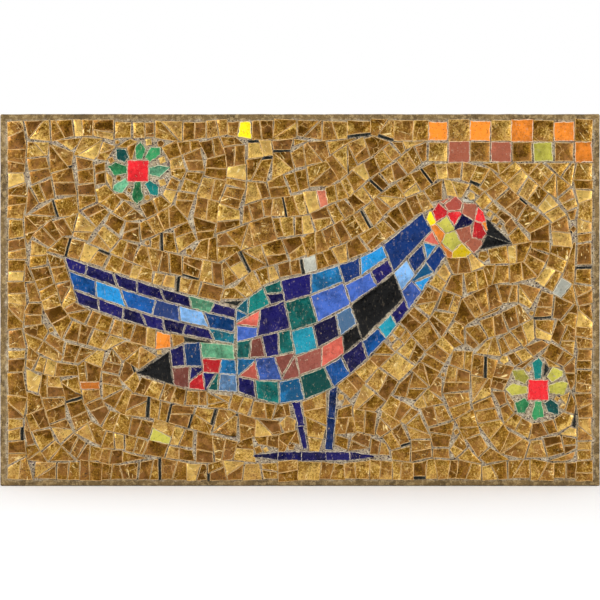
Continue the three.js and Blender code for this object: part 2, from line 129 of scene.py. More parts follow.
def only(*pieces):
    """Selects these pieces and nothing else, and makes the first one active."""
    if bpy.context.object and bpy.context.object.mode != "OBJECT":
        bpy.ops.object.mode_set(mode="OBJECT")
    bpy.ops.object.select_all(action="DESELECT")
    for piece in pieces:
        piece.select_set(True)
    bpy.context.view_layer.objects.active = pieces[0]


def edit(piece, mode="FACE"):
    """Opens a piece in edit mode with nothing selected."""
    only(piece)
    bpy.ops.object.mode_set(mode="EDIT")
    bpy.ops.mesh.select_mode(type=mode)
    bpy.ops.mesh.select_all(action="DESELECT")


def choose(piece, rule, kind="faces"):
    """In edit mode, selects the faces, edges or verts for which the rule holds, and counts them."""
    shape = bmesh.from_edit_mesh(piece.data)
    count = 0
    for element in getattr(shape, kind):
        wanted = bool(rule(element))
        element.select_set(wanted)
        count += wanted
    shape.select_flush_mode()
    bmesh.update_edit_mesh(piece.data)
    return count


def face_count(piece):
    return len(bmesh.from_edit_mesh(piece.data).faces)


def choose_one(shape, index):
    """Selects one face alone and hands it back. It is valid while the caller holds the shape."""
    shape.faces.ensure_lookup_table()
    bpy.ops.mesh.select_all(action="DESELECT")
    face = shape.faces[index]
    face.select_set(True)
    return face


def done():
    bpy.ops.object.mode_set(mode="OBJECT")


def working_copy(name, node):
    """A new piece from a copy of a CAD node, with its loose triangles welded."""
    piece = bpy.data.objects.new(name, frame["nodes"][node].data.copy())
    piece.data.name = name
    bpy.context.scene.collection.objects.link(piece)
    edit(piece)
    bpy.ops.mesh.select_all(action="SELECT")
    bpy.ops.mesh.remove_doubles(threshold=TINY)
    done()
    return piece


def join(name, pieces):
    only(*pieces)
    if len(pieces) > 1:
        bpy.ops.object.join()
    pieces[0].name = pieces[0].data.name = name
    return pieces[0]


def apply_modifier(piece, kind, **settings):
    only(piece)
    modifier = piece.modifiers.new(kind.title(), kind)
    for key, value in settings.items():
        setattr(modifier, key, value)
    bpy.ops.object.modifier_apply(modifier=modifier.name)


def smooth(piece, degrees):
    """Shades a piece smooth, except across edges sharper than this."""
    only(piece)
    bpy.ops.object.shade_smooth_by_angle(angle=math.radians(degrees))


def triangles(piece):
    return sum(len(face.vertices) - 2 for face in piece.data.polygons)


# %% [markdown]
# ## Outlines of the tesserae
#
# The front of each glass piece in the CAD model is a flat polygon. Keeping only those fronts leaves one
# flat blank for each tessera, as a cutter would lay them out on the bench before nipping them.

# %% Keep only the fronts
FACING = -0.9
LEVEL_SLACK = 0.02 * MM
FLAT_ANGLE = 0.3


def is_front(face):
    return face.normal.y < FACING


def lies_at(face, level):
    return all(abs(vertex.co.y - level) < LEVEL_SLACK for vertex in face.verts)


def is_gold(face):
    """Gold lies in front of the grout, and always a little aslope."""
    level = lies_at(face, GROUT_Y) or lies_at(face, FIGURE_Y)
    return is_front(face) and not level and face.calc_center_median().y < GROUT_Y


def is_figure(face):
    return is_front(face) and lies_at(face, FIGURE_Y)


def keep_faces(piece, rule):
    """Deletes all other faces, then joins each flat patch of triangles into one polygon."""
    edit(piece)
    choose(piece, lambda face: not rule(face))
    bpy.ops.mesh.delete(type="FACE")
    bpy.ops.mesh.select_all(action="SELECT")
    bpy.ops.mesh.dissolve_limited(angle_limit=math.radians(FLAT_ANGLE))
    done()


gold = working_copy("gold_tesserae", "gold_ground_bed")
keep_faces(gold, is_gold)
small = working_copy("small_tesserae", "gold_ground_bed")
keep_faces(small, is_figure)
FIGURE_NODES = sorted(set(frame["nodes"]) - {"mortar_slab", "gold_ground_bed"})
figure = join("figure_tesserae", [working_copy(node, node) for node in FIGURE_NODES])
keep_faces(figure, is_figure)
for piece in (gold, small, figure):
    print(piece.name, len(piece.data.polygons), "blanks")

# %% [markdown]
# ## Cutting the gold
#
# Gold glass is sold in 20 mm squares, and the mosaicist halves many of them with nippers, seldom squarely.
# Each gold blank stands for one or a few such pieces. A bisect through the blank, roughly across its longer
# way, is the cut. A few cuts run close to one side: they leave the thin strips that stand on edge and show
# the dark glass under the leaf.

# %% Nip the blanks
WHOLE_AREA = 190 * MM**2
LARGE_AREA = 320 * MM**2
STRIP_WIDTH = 3.0 * MM
STRIP_SHARE = 0.11
STRIP_LEAST = 0.7  # as a share of STRIP_WIDTH
CUT_SHARE, LARGE_CUT_SHARE = 0.5, 0.88
CUT_SHIFT = 2.5  # millimetres off the middle
CUT_SLACK = 16  # in degrees
DIAGONAL_SHARE = 0.13
DIAGONAL, DIAGONAL_SLACK = 45, 12  # in degrees
CLOSER = 0.6 * MM
CLOSER_SPREAD = 4
MOST_TURN = 3
BORDER_ROW = 14 * MM
BORDER_REACH = 2.6 * MM
SQUARES_LEFT, SQUARES_LOW, SQUARE_PITCH = 128, 136, 21


def in_squares(middle):
    """True in the top right corner, where the squares are left whole."""
    return middle.x > SQUARES_LEFT * MM and middle.z > SQUARES_LOW * MM


def loosen(piece):
    """Makes each blank larger and turns it a little.

    Those along the top and the bottom reach over the border."""
    edit(piece)
    for index in range(face_count(piece)):
        shape = bmesh.from_edit_mesh(piece.data)
        face = choose_one(shape, index)
        middle, size = face.calc_center_median(), math.sqrt(face.calc_area())
        growth = 1 + random.uniform(0, CLOSER_SPREAD) * CLOSER / size
        bpy.ops.transform.resize(value=(growth, 1, growth), center_override=middle)
        turn = math.radians(random.uniform(-MOST_TURN, MOST_TURN))
        bpy.ops.transform.rotate(value=turn, orient_axis="Y", center_override=middle)
        if BED_HIGH.z - abs(middle.z) < BORDER_ROW:
            inner = middle - Vector((0, 0, math.copysign(size / 2, middle.z)))
            reach = 1 + random.uniform(0, BORDER_REACH) / size
            bpy.ops.transform.resize(value=(1, 1, reach), center_override=inner)
    done()


def long_way(face):
    """Unit vector along the face's longest side."""
    edge = max(face.edges, key=lambda e: e.calc_length())
    return (edge.verts[1].co - edge.verts[0].co).normalized()


def turned(vector, degrees):
    """The vector turned in the plane of the picture."""
    turn = math.radians(degrees)
    across = Vector((-vector.z, 0, vector.x))
    return vector * math.cos(turn) + across * math.sin(turn)


def planned_cut(face):
    """Where and which way a blank is nipped, or None to leave it whole."""
    share = CUT_SHARE if face.calc_area() < LARGE_AREA else LARGE_CUT_SHARE
    if face.calc_area() < WHOLE_AREA:
        share = 0
    if random.random() > share or in_squares(face.calc_center_median()):
        return None
    along = long_way(face)
    middle = face.calc_center_median() + along * random.uniform(-CUT_SHIFT, CUT_SHIFT) * MM
    if random.random() < DIAGONAL_SHARE:
        slack = random.choice((-DIAGONAL, DIAGONAL)) + random.uniform(-DIAGONAL_SLACK, DIAGONAL_SLACK)
    else:
        slack = random.uniform(-CUT_SLACK, CUT_SLACK)
    return middle, turned(along, slack)


def planned_recut(face):
    return planned_cut(face) if face.calc_area() > LARGE_AREA else None


def planned_strip(face):
    """A cut close to one side of a few of the faces."""
    whole = face.calc_area() < WHOLE_AREA or in_squares(face.calc_center_median())
    if random.random() > STRIP_SHARE or whole:
        return None
    edge = random.choice(list(face.edges))
    start, end = (vertex.co for vertex in edge.verts)
    inwards = face.calc_center_median() - start
    along = (end - start).normalized()
    inwards -= along * inwards.dot(along)
    inwards.normalize()
    return start + inwards * STRIP_WIDTH * random.uniform(STRIP_LEAST, 1), inwards


def nip_all(piece, plan):
    """Plans a cut for each face and makes it.

    New faces come last, so the numbers of the first ones still hold."""
    edit(piece)
    cuts = [(face.index, plan(face)) for face in bmesh.from_edit_mesh(piece.data).faces]
    for index, cut in cuts:
        if cut is None:
            continue
        choose_one(bmesh.from_edit_mesh(piece.data), index)
        bpy.ops.mesh.bisect(plane_co=cut[0], plane_no=cut[1])
    bpy.ops.mesh.select_all(action="SELECT")
    bpy.ops.mesh.edge_split(type="EDGE")
    done()
    print(piece.name, "now has", len(piece.data.polygons), "pieces")


loosen(gold)
nip_all(gold, planned_cut)
nip_all(gold, planned_recut)
nip_all(gold, planned_strip)

# %% [markdown]
# ## One tray for each glass
#
# A mosaicist keeps each glass in its own tray. Gold is not one colour either: each sheet is gilded, covered
# and fired a little differently, so it fills five trays by tone. The spread of those tones is partly painted
# light too: the brighter trays stand for tiles that would mirror the lights, the deeper ones for tiles that
# mirror little. Here a face's material slot says which tray it comes from, and separating by material later
# makes one piece of each tray. The larger pieces of the bird bring their glass with them from the CAD model.
# The small ones get theirs by where they are.

# %% Name the trays
GOLD_TRAYS = {"deep_gold": 0.17, "old_gold": 0.33, "warm_gold": 0.30, "bright_gold": 0.14, "pale_gold": 0.06}


def any_gold():
    """A gold tray drawn by its share."""
    return random.choices(list(GOLD_TRAYS), list(GOLD_TRAYS.values()))[0]


def tray_number(piece, glass):
    """The number of this glass among the piece's material slots, added to them if it is new."""
    names = [material.name for material in piece.data.materials]
    if glass not in names:
        names.append(glass)
        piece.data.materials.append(bpy.data.materials.get(glass) or bpy.data.materials.new(glass))
    return names.index(glass)


def fill_trays(piece, glass_for):
    """Puts each face into the tray that glass_for names.

    The faces' places are read first, then the slots are set."""
    glasses = [glass_for(face) for face in piece.data.polygons]
    for face, glass in zip(piece.data.polygons, glasses, strict=True):
        face.material_index = tray_number(piece, glass)


def distance(face, x, z):
    """Distance in the picture from a face's middle to a place given in millimetres."""
    return math.hypot(face.center.x - x * MM, face.center.z - z * MM) / MM


# %% [markdown]
# ## Coloured squares among the gold
#
# A few squares of coloured glass are let in among the gold at random, and the two rows of uncut squares at
# the top right take turns between gold and warm opaque glass.

# %% Choose the tray of each gold blank
ACCENT_GLASS = ("salmon_glass", "yellow_glass")
ACCENT_GLASS += ("orange_glass", "white_glass", "lime_glass") * 2 + ("pale_gold",) * 6
SQUARE_GLASS = ("orange_glass", "orange_glass", "salmon_glass", "lime_glass")
ON_EDGE_WIDTH = STRIP_WIDTH * 1.02  # a blank narrower than this lies on its side

chosen = random.sample(range(len(gold.data.polygons)), len(ACCENT_GLASS))
accent_faces = dict(zip(chosen, ACCENT_GLASS, strict=True))


def ground_glass(face):
    column = (face.center.x / MM - SQUARES_LEFT) // SQUARE_PITCH
    row = (face.center.z / MM - SQUARES_LOW) // SQUARE_PITCH
    if column >= 0 and row >= 0 and (column + row) % 2:
        return random.choice(SQUARE_GLASS)
    drawn = any_gold()
    return accent_faces.get(face.index, drawn)


def gold_or_edge(face):
    """Strips that stand on edge show the dark glass, all others their tray's."""
    return "dark_glass" if width_of(face) < ON_EDGE_WIDTH else ground_glass(face)


def width_of(face):
    """Area over the longest side, which is near the width of a narrow piece."""
    corners = face.id_data.vertices
    return face.area / max((corners[a].co - corners[b].co).length for a, b in face.edge_keys)


fill_trays(gold, gold_or_edge)

# %% [markdown]
# ## The bird's small pieces and the two rosettes
#
# The head is a cluster of reds, oranges and yellows round a dark eye. The petals of the rosettes run
# through the greens. Legs and ground line are navy and royal blue. The small pieces that fill the tail, the
# wing and the body take turns among the glasses of their part.

# %% Choose the tray of each small piece
HEAD_X, HEAD_Z, HEAD_RADIUS = 156, 72, 31.5
EYE_X, EYE_Z = 162, 78
PETAL_REACH, PETAL_ANGLE = 34, 45
BEAK_REACH = 215
GROUND_LINE_TOP, LEG_TOP, LEG_REACH, RIGHT_LEG = -145, -95, 110, 20
NECK_LEFT, TAIL_RIGHT, WING_TOP = 110, -62, -45
FIGURE_CLOSER, HEAD_CLOSER, BEAK_CLOSER = 1.0 * MM, 1.2 * MM, 2.2 * MM
LEG_CLOSER = 1.7 * MM
FIGURE_SINK = 0.45 * MM
HEAD_GLASS = (
    "coral_glass", "red_glass", "orange_glass", "yellow_glass", "salmon_glass", "lime_glass", "red_glass",
    "salmon_glass", "orange_glass", "coral_glass", "white_glass",
)  # fmt: skip
BODY_GLASS = ("turquoise_glass", "navy_glass", "rust_glass", "teal_glass", "coral_glass", "azure_glass")
TAIL_GLASS = ("turquoise_glass", "navy_glass", "seafoam_glass")
WING_GLASS = ("teal_glass", "red_glass", "navy_glass", "azure_glass")
PETAL_GLASS = {
    "left_rosette_centre": ("seafoam_glass", "green_glass", "teal_glass", "green_glass"),
    "right_rosette_centre": ("lime_glass", "green_glass", "teal_glass", "lime_glass"),
}
turns = dict.fromkeys(("head", "body", "tail", "wing"), 0)


def next_of(part, glasses):
    """The next glass of a part, so that neighbours differ."""
    turns[part] += 1
    return glasses[turns[part] % len(glasses)]


def petal_glass(face):
    """The glass of a petal by its bearing from the middle of its rosette, or None if it is no petal."""
    for node, glasses in PETAL_GLASS.items():
        middle = sum(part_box(node), Vector()) / 2
        away = face.center - middle
        if math.hypot(away.x, away.z) < PETAL_REACH * MM:
            bearing = math.degrees(math.atan2(away.z, away.x))
            return glasses[int(bearing // PETAL_ANGLE) % len(glasses)]
    return None


def small_glass(face):
    x, z = face.center.x / MM, face.center.z / MM
    if petal_glass(face):
        return petal_glass(face)
    if z < GROUND_LINE_TOP:
        return "navy_glass"
    if z < LEG_TOP:
        return "navy_glass" if x < RIGHT_LEG else "royal_glass"
    if distance(face, HEAD_X, HEAD_Z) < HEAD_RADIUS:
        return "navy_glass" if face == eye else next_of("head", HEAD_GLASS)
    if x > HEAD_X:
        return "black_glass"
    if x > NECK_LEFT:
        return "azure_glass"
    if x < TAIL_RIGHT:
        return next_of("tail", TAIL_GLASS) if z > WING_TOP else next_of("wing", WING_GLASS)
    return next_of("body", BODY_GLASS)


def closer_at(x, z):
    """How far a piece grows on each side, by its place in the picture in millimetres."""
    if math.hypot(x - HEAD_X, z - HEAD_Z) < HEAD_RADIUS:
        return HEAD_CLOSER
    if HEAD_X < x < BEAK_REACH and abs(z - HEAD_Z) < HEAD_RADIUS:
        return BEAK_CLOSER
    if z < LEG_TOP and abs(x) < LEG_REACH:
        return LEG_CLOSER
    return FIGURE_CLOSER


def draw_together(piece):
    """Makes the opaque pieces larger, so that they stand closer than the gold, and sinks them a little."""
    edit(piece)
    for index in range(face_count(piece)):
        shape = bmesh.from_edit_mesh(piece.data)
        face = choose_one(shape, index)
        middle = face.calc_center_median()
        closer = closer_at(middle.x / MM, middle.z / MM)
        growth = [1, 1, 1]
        for axis in (0, 2):
            places = [vert.co[axis] for vert in face.verts]
            growth[axis] += 2 * closer / (max(places) - min(places))
        bpy.ops.transform.resize(value=growth, center_override=middle)
        bpy.ops.transform.translate(value=(0, FIGURE_SINK, 0))
    done()


eye = min(small.data.polygons, key=lambda face: distance(face, EYE_X, EYE_Z))
fill_trays(small, small_glass)
for piece in (small, figure):
    draw_together(piece)

# %% [markdown]
# ## Closing the wide gaps
#
# Where the rows of gold end against the bird or turn a corner, wedges of mortar stay open. The mosaicist
# fills them with offcuts. The script looks for the place that is farthest from any piece, lays an offcut
# there that nearly touches its neighbours, and goes on until no wide place is left.

# %% Lay the offcuts
OFFCUT_LEAST = 3.1 * MM
OFFCUT_JOINT = 0.3 * MM
OFFCUT_Y = GROUT_Y - 0.9 * MM
OFFCUT_SIDES = (4, 4, 5)
OFFCUT_GROWTH = (1.1, 1.25)
SEARCH_STEP = 1.5 * MM
SEARCH_MARGIN = 2 * MM


def laid_out(pieces):
    """A search tree of all blanks, drawn flat."""
    corners, faces = [], []
    for piece in pieces:
        first = len(corners)
        corners += [(vertex.co.x, 0, vertex.co.z) for vertex in piece.data.vertices]
        faces += [[first + index for index in face.vertices] for face in piece.data.polygons]
    return BVHTree.FromPolygons(corners, faces)


def wide_places(tree):
    """Yields the middle and the radius of one free round place after the other, widest first."""
    xs = np.arange(BED_LOW.x + SEARCH_MARGIN, BED_HIGH.x - SEARCH_MARGIN, SEARCH_STEP)
    zs = np.arange(BED_LOW.z + SEARCH_MARGIN, BED_HIGH.z - SEARCH_MARGIN, SEARCH_STEP)
    places = np.array([(x, z) for x in xs for z in zs])
    room = np.array([tree.find_nearest((x, 0, z))[3] for x, z in places])
    while room.max() > OFFCUT_LEAST:
        best = room.argmax()
        radius = room[best] - OFFCUT_JOINT
        yield places[best], radius
        room = np.minimum(room, np.linalg.norm(places - places[best], axis=1) - radius)


bpy.ops.object.select_all(action="DESELECT")
offcuts = None
for (x, z), radius in wide_places(laid_out([gold, small, figure])):
    bpy.ops.mesh.primitive_circle_add(
        vertices=random.choice(OFFCUT_SIDES),
        radius=radius * random.uniform(*OFFCUT_GROWTH),
        fill_type="NGON",
        location=(x, OFFCUT_Y, z),
        rotation=(math.pi / 2, random.uniform(0, math.pi), 0),
    )
    if offcuts is None:
        # From here on the first offcut is open in edit mode, and the others are added to it.
        offcuts = bpy.context.object
        bpy.ops.object.transform_apply(location=True, rotation=True, scale=True)
        edit(offcuts)
done()
fill_trays(offcuts, lambda face: any_gold())
print(len(offcuts.data.polygons), "offcuts")

# %% [markdown]
# ## All blanks on one table
#
# From here on gold, figure and offcuts are treated alike, so they are joined into one piece. Each face
# keeps the slot of its tray.

# %% Lay all blanks together
tesserae = join("tesserae", [gold, small, figure, offcuts])
trays_in_use = {face.material_index for face in tesserae.data.polygons}
print(len(tesserae.data.polygons), "tesserae in", len(trays_in_use), "trays")

# %% [markdown]
# ## Pressing the pieces in
#
# Each piece is pressed into the mortar by hand, at its own slope, and that is what makes gold glitter:
# neighbours catch the light at different moments. Each blank is turned a little about its own middle and
# pushed a little deeper or less deep. It also gets three random numbers of its own, which its material
# reads later.

# %% Tilt the blanks
SLOPE, LOOSE_SLOPE = 2.2, 5  # in degrees
LOOSE_SHARE = 0.14
MOST_RISE = 0.8 * MM
SINK = 0.25 * MM


def press_in(piece):
    edit(piece)
    for index in range(face_count(piece)):
        shape = bmesh.from_edit_mesh(piece.data)
        face = choose_one(shape, index)
        middle = face.calc_center_median()
        most = LOOSE_SLOPE if random.random() < LOOSE_SHARE else SLOPE
        reach = max((vert.co - middle).length for vert in face.verts)
        most = min(most, math.degrees(MOST_RISE / reach))
        for axis in "XZ":
            slope = math.radians(random.uniform(-most, most))
            bpy.ops.transform.rotate(value=slope, orient_axis=axis, center_override=middle)
        bpy.ops.transform.translate(value=(0, random.uniform(-SINK, SINK), 0))
    done()


def own_numbers(piece):
    """Three random numbers for each face, which stay with the tessera that it becomes."""
    chance = np.random.default_rng(SEED)
    colours = np.ones((len(piece.data.polygons), 4), np.float32)
    colours[:, :3] = chance.random((len(piece.data.polygons), 3))
    own = piece.data.attributes.new("own", "FLOAT_COLOR", "FACE")
    own.data.foreach_set("color", colours.ravel())


press_in(tesserae)
own_numbers(tesserae)

# %% [markdown]
# ## From blank to cut glass
#
# A nipped tessera has a slightly crumbled outline, a hammered face that is not quite flat, and a narrow
# bright rim where the edge is chipped. The steps are the same for each tray: draw the blank in by half a
# joint, divide it, jog its outline and its face at random, inset the rim, and give the sheet its thickness.

# %% Cut the pieces of one tray
RIM_DROP = 0.28 * MM
SIDE_FACING = -0.3  # faces turned further from the viewer than this are sides
CHIP_SEED, RIPPLE_SEED = 1, 2


def open_joints(piece, joints):
    """Draws each blank in by a joint picked from a few widths."""
    edit(piece)
    count = face_count(piece)
    picks = [random.randrange(len(joints)) for _ in range(count)]
    for number, joint in enumerate(joints):
        choose(piece, lambda face: face.index < count and picks[face.index] == number)
        bpy.ops.mesh.inset(thickness=joint * MM, use_individual=True)
    choose(piece, lambda face: face.index >= count)
    bpy.ops.mesh.delete(type="FACE")


def divide(piece, cuts):
    """Divides faces of any number of corners into a grid."""
    choose(piece, lambda face: len(face.verts) > 4)
    bpy.ops.mesh.quads_convert_to_tris(ngon_method="BEAUTY")
    bpy.ops.mesh.tris_convert_to_quads(face_threshold=math.pi, shape_threshold=math.pi)
    bpy.ops.mesh.select_all(action="SELECT")
    bpy.ops.mesh.subdivide(number_cuts=cuts)


def cut_glass(piece, joints, rim, chip, ripple, cuts):
    """Cuts the blanks of a tray. joints, rim, chip and ripple are in millimetres."""
    open_joints(piece, joints)
    divide(piece, cuts)
    choose(piece, lambda vert: vert.is_boundary, "verts")
    bpy.ops.transform.vertex_random(offset=chip * MM, seed=CHIP_SEED)
    bpy.ops.mesh.select_all(action="SELECT")
    bpy.ops.transform.vertex_random(offset=ripple * MM, normal=1, seed=RIPPLE_SEED)
    before = face_count(piece)
    bpy.ops.mesh.inset(thickness=rim * MM, depth=RIM_DROP, use_even_offset=False)
    choose(piece, lambda face: face.index >= before)
    piece.active_material_index = 1
    bpy.ops.object.material_slot_assign()
    bpy.ops.mesh.select_all(action="SELECT")
    bpy.ops.mesh.extrude_region_move(TRANSFORM_OT_translate={"value": (0, GLASS_DEPTH, 0)})
    bpy.ops.mesh.select_all(action="SELECT")
    bpy.ops.mesh.flip_normals()
    choose(piece, lambda face: face.normal.y > SIDE_FACING)
    piece.active_material_index = 2
    bpy.ops.object.material_slot_assign()
    done()
    smooth(piece, 40)


# %% [markdown]
# ## Cutting tray by tray
#
# The blanks are parted by their material, which gives one piece for each tray. Gold is nipped finely, with
# joints of several widths. The strips on edge are too narrow for a wide rim. The opaque glass breaks more
# roughly, so its blanks are divided more finely and chipped deeper.

# %% Part the trays and cut each
GOLD_CUT = {"joints": (0.05, 0.12, 0.3, 0.55), "rim": 0.55, "chip": 0.5, "ripple": 0.12, "cuts": 2}
STRIP_CUT = {"joints": (0.1,), "rim": 0.2, "chip": 0.2, "ripple": 0.1, "cuts": 2}
SMALTI_CUT = {"joints": (0.1, 0.25, 0.4), "rim": 0.6, "chip": 0.75, "ripple": 0.08, "cuts": 5}

edit(tesserae)
bpy.ops.mesh.select_all(action="SELECT")
before = set(bpy.data.objects)
bpy.ops.mesh.separate(type="MATERIAL")
done()
trays = {}
for piece in [tesserae, *sorted(set(bpy.data.objects) - before, key=lambda o: o.name)]:
    glass = piece.data.materials[0].name
    trays[glass] = piece
    piece.name = piece.data.name = glass + "_tesserae"
    for _ in ("rim", "side"):
        piece.data.materials.append(piece.data.materials[0])
for glass, piece in sorted(trays.items()):
    if glass in GOLD_TRAYS:
        cut_glass(piece, **GOLD_CUT)
    elif glass == "dark_glass":
        cut_glass(piece, **STRIP_CUT)
    else:
        cut_glass(piece, **SMALTI_CUT)
    print(f"{piece.name}: {triangles(piece)} triangles")

# %% [markdown]
# ## The mortar bed
#
# The mortar stands between the pieces, pressed up unevenly by them and wiped by hand. A fine grid facing
# the viewer is lifted and lowered by two cloud textures, one for the trowel and one for the sand. Its rim
# is then drawn back into the slab, and closed.

# %% Lay the mortar
BED_STEP = 2.4 * MM
BED_DEEP = 5.5 * MM
BED_LIFT = 0.15 * MM
BED_WIDTH, BED_HEIGHT = BED_HIGH.x - BED_LOW.x, BED_HIGH.z - BED_LOW.z


def roughen(piece, name, size, strength):
    """Lifts and lowers a surface by a cloud texture. Both measures are in millimetres."""
    texture = bpy.data.textures.new(name, "CLOUDS")
    texture.noise_scale = size * MM
    texture.noise_depth = 2
    apply_modifier(piece, "DISPLACE", texture=texture, strength=strength * MM, mid_level=0.5)


bpy.ops.object.select_all(action="DESELECT")
bpy.ops.mesh.primitive_grid_add(
    x_subdivisions=round(BED_WIDTH / BED_STEP),
    y_subdivisions=round(BED_HEIGHT / BED_STEP),
    size=1,
    location=(0, GROUT_Y + BED_LIFT, 0),
    rotation=(math.pi / 2, 0, 0),
)
mortar = bpy.context.object
mortar.scale = (BED_WIDTH, BED_HEIGHT, 1)
bpy.ops.object.transform_apply(location=True, rotation=True, scale=True)
mortar.name = mortar.data.name = "mortar_bed"
roughen(mortar, "trowel", size=14, strength=0.9)
roughen(mortar, "sand", size=3, strength=0.5)
edit(mortar, "EDGE")
choose(mortar, lambda edge: edge.is_boundary, "edges")
bpy.ops.mesh.extrude_region_move(TRANSFORM_OT_translate={"value": (0, BED_DEEP, 0)})
bpy.ops.mesh.edge_face_add()
bpy.ops.mesh.select_all(action="SELECT")
bpy.ops.mesh.normals_make_consistent(inside=False)
done()
smooth(mortar, 60)
print("mortar bed:", triangles(mortar), "triangles")

# %% [markdown]
# ## The cement slab
#
# The slab is cast in a tray with a slightly worn edge. It starts as a cube of the panel's size. Its edges
# get a narrow arris, the front is inset by the margin and sunk to take the mortar, and planes cut through
# it give the surface enough points to be made a little uneven.

# %% Cast the slab
ARRIS = 1.6 * MM
SLAB_STEP = 6 * MM

bpy.ops.object.select_all(action="DESELECT")
bpy.ops.mesh.primitive_cube_add(
    size=1, location=(0, (SLAB_LOW.y + SLAB_HIGH.y) / 2, 0), scale=(WIDTH, DEPTH, HEIGHT)
)
bpy.ops.object.transform_apply(location=True, rotation=True, scale=True)
slab = bpy.context.object
slab.name = slab.data.name = "cement_slab"
edit(slab)
choose(slab, is_front)
bpy.ops.mesh.inset(thickness=MARGIN)
bpy.ops.mesh.extrude_region_move(TRANSFORM_OT_translate={"value": (0, BED_BACK_Y - GROUT_Y, 0)})
bpy.ops.mesh.select_mode(type="EDGE")


def on_outer_edge(edge):
    """True for the twelve outer edges of the slab."""
    middle = (edge.verts[0].co + edge.verts[1].co) / 2
    at_x = abs(abs(middle.x) - WIDTH / 2) < TINY
    at_z = abs(abs(middle.z) - HEIGHT / 2) < TINY
    at_y = min(abs(middle.y - SLAB_LOW.y), abs(middle.y - SLAB_HIGH.y)) < TINY
    return at_x + at_y + at_z >= 2


print(choose(slab, on_outer_edge, "edges"), "outer edges")
bpy.ops.mesh.bevel(offset=ARRIS, segments=2, affect="EDGES")
for axis, length in ((0, WIDTH), (2, HEIGHT)):
    normal = [0, 0, 0]
    normal[axis] = 1
    for step in range(1, round(length / SLAB_STEP)):
        place = [0, 0, 0]
        place[axis] = -length / 2 + step * length / round(length / SLAB_STEP)
        bpy.ops.mesh.select_all(action="SELECT")
        bpy.ops.mesh.bisect(plane_co=place, plane_no=normal)
done()
roughen(slab, "worn_cement", size=18, strength=0.8)
smooth(slab, 50)
print("slab:", triangles(slab), "triangles")

# %% [markdown]
# ## A small language for finishes
#
# Shader nodes are easier to read as sums. A Wire is the output of a node, and adding or multiplying wires
# adds the Math nodes. A Finish is a material being written, with one method that makes any node.

# %% Wires and finishes


class Wire:
    """The output of a shader node, which can stand in sums."""

    def __init__(self, finish, socket):
        self.finish, self.socket = finish, socket

    def math(self, operation, *values, clamp=False):
        return self.finish.node("ShaderNodeMath", {"operation": operation, "use_clamp": clamp}, values)

    def __add__(self, other):
        return self.math("ADD", self, other)

    def __sub__(self, other):
        return self.math("SUBTRACT", self, other)

    def __rsub__(self, other):
        return self.math("SUBTRACT", other, self)

    def __mul__(self, other):
        return self.math("MULTIPLY", self, other)

    __radd__ = __add__

    def clamped(self):
        return self.math("ADD", self, 0, clamp=True)

    def spread(self, gain):
        """Stretches a noise about its middle, and takes it to 0. Most noise lies in 0.3 to 0.7."""
        return (self - 0.5) * gain

    def above(self, low, high):
        """0 below low, 1 above high, and smooth between."""
        settings = {"interpolation_type": "SMOOTHSTEP"}
        return self.finish.node("ShaderNodeMapRange", settings, (self, low, high, 0, 1))


class Finish:
    """A material, or the room's light, under construction."""

    def __init__(self, owner):
        owner.use_nodes = True
        self.owner, self.tree = owner, owner.node_tree
        self.tree.nodes.clear()
        self.object_place = self.node("ShaderNodeTexCoord", output="Object")

    def node(self, kind, settings=None, values=(), output=0):
        """Makes a node. values are for its sockets: in their order, or by name or number in a dictionary."""
        made = self.tree.nodes.new(kind)
        for key, value in (settings or {}).items():
            setattr(made, key, value)
        pairs = values.items() if isinstance(values, dict) else enumerate(values)
        for key, value in pairs:
            socket = made.inputs[key]
            if isinstance(value, Wire):
                self.tree.links.new(value.socket, socket)
            elif socket.type == "RGBA":
                socket.default_value = (*value, 1)
            else:
                socket.default_value = value
        return Wire(self, made.outputs[output])

    def mix(self, factor, first, second):
        """Goes from the first colour to the second as factor goes from 0 to 1."""
        settings = {"data_type": "RGBA", "clamp_factor": True}
        return self.node("ShaderNodeMix", settings, {0: factor, 6: first, 7: second}, output=2)

    def vector(self, operation, *values):
        return self.node("ShaderNodeVectorMath", {"operation": operation}, values)

    def channel(self, colour, name):
        return self.node("ShaderNodeSeparateColor", None, (colour,), output=name)

    def own(self, channel=None):
        """The three random numbers of a tessera as a colour, or one of them."""
        numbers = self.node("ShaderNodeAttribute", {"attribute_name": "own"}, output="Color")
        return numbers if channel is None else self.channel(numbers, channel)

    def own_place(self):
        """Object coordinates shifted by a tessera's own numbers, so that no pattern crosses a joint."""
        return self.vector("MULTIPLY_ADD", self.own(), (0.9, 0.9, 0.9), self.object_place)

    def noise(self, place, size, detail=2, roughness=0.5, distortion=0):
        values = {"Vector": place, "Scale": 1 / (size * MM), "Detail": detail}
        values.update({"Roughness": roughness, "Distortion": distortion})
        return self.node("ShaderNodeTexNoise", None, values)

    def cells(self, place, size, feature="F1", output="Distance"):
        values = {"Vector": place, "Scale": 1 / (size * MM)}
        return self.node("ShaderNodeTexVoronoi", {"feature": feature}, values, output=output)

    def bump(self, height, depth):
        """A normal from a height between 0 and 1, which stands for this depth in millimetres."""
        return self.node("ShaderNodeBump", None, {"Height": height, "Distance": depth * MM, "Strength": 1})

    def close(self, **values):
        """Feeds the main shader. Underscores in a name stand for blanks: Base_Color is Base Color."""
        sockets = {name.replace("_", " "): value for name, value in values.items()}
        shader = self.node("ShaderNodeBsdfPrincipled", None, sockets)
        output = self.tree.nodes.new("ShaderNodeOutputMaterial")
        self.tree.links.new(shader.socket, output.inputs["Surface"])
        return self.owner


def new_finish(name):
    return Finish(bpy.data.materials.new(name))
